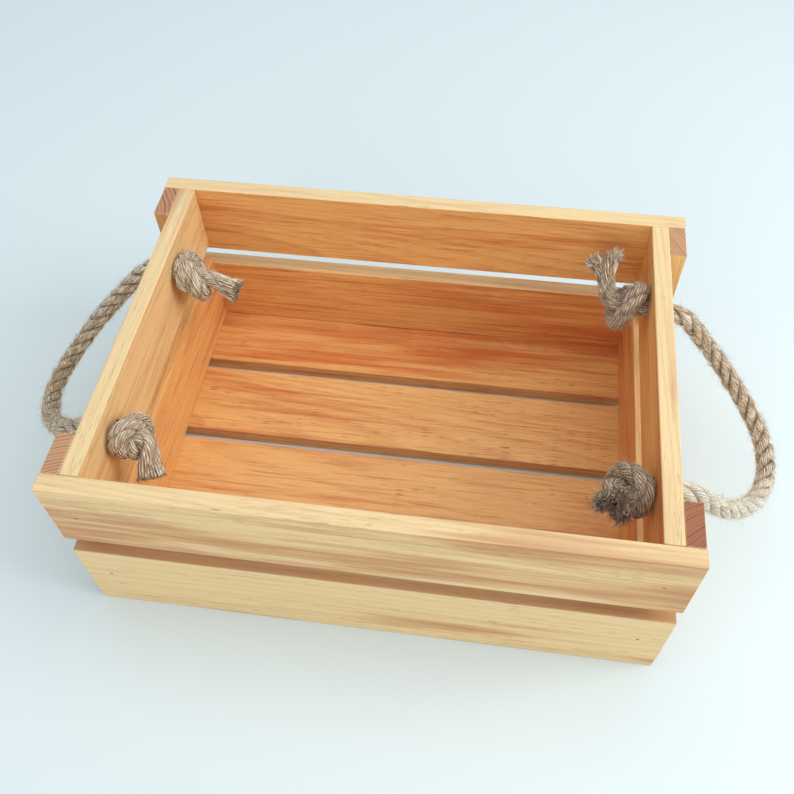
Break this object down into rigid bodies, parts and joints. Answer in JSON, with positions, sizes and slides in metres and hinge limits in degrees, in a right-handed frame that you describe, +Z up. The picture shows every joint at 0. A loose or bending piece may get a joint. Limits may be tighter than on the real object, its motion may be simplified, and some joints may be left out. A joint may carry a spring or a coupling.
{
  "type": "shipping crate",
  "caption": "Open-topped slatted pine crate with corner posts, a slatted floor and a knotted rope handle at each end.",
  "frame": {"origin": "centre of the crate's underside, on the surface it stands on", "axes": "+X along the long boards, +Y towards the back, +Z up"},
  "size_m": [0.5487, 0.2886, 0.1558],
  "materials": {
    "pine": "oiled",
    "jute": "rough",
    "brad_steel": "satin"
  },
  "bodies": {
    "crate": {"front_lower_slat": "pine", "front_upper_slat": "pine", "back_lower_slat": "pine", "back_upper_slat": "pine", "left_lower_end_slat": "pine", "left_upper_end_slat": "pine", "right_lower_end_slat": "pine", "right_upper_end_slat": "pine", "left_front_post": "pine", "left_back_post": "pine", "right_front_post": "pine", "right_back_post": "pine", "floor_board_1": "pine", "floor_board_2": "pine", "floor_board_3": "pine", "floor_board_4": "pine", "front_brads": "brad_steel", "back_brads": "brad_steel", "left_post_brads": "brad_steel", "right_post_brads": "brad_steel", "floor_brads": "brad_steel", "left_front_rope_neck": "jute", "left_back_rope_neck": "jute", "right_front_rope_neck": "jute", "right_back_rope_neck": "jute", "left_front_knot": "jute", "left_back_knot": "jute", "right_front_knot": "jute", "right_back_knot": "jute", "left_front_rope_tail": "jute", "left_back_rope_tail": "jute", "right_front_rope_tail": "jute", "right_back_rope_tail": "jute"},
    "left_handle": {"left_rope_loop": "jute"},
    "right_handle": {"right_rope_loop": "jute"}
  },
  "joints": [
    {"name": "left_handle_swing", "type": "hinge", "parent": "crate", "child": "left_handle", "pos_m": [-0.196, -0.004, 0.13], "axis": [0, 1, 0], "range_deg": [-46, 126]},
    {"name": "right_handle_swing", "type": "hinge", "parent": "crate", "child": "right_handle", "pos_m": [0.196, -0.004, 0.13], "axis": [0, -1, 0], "range_deg": [-46, 126]}
  ]
}
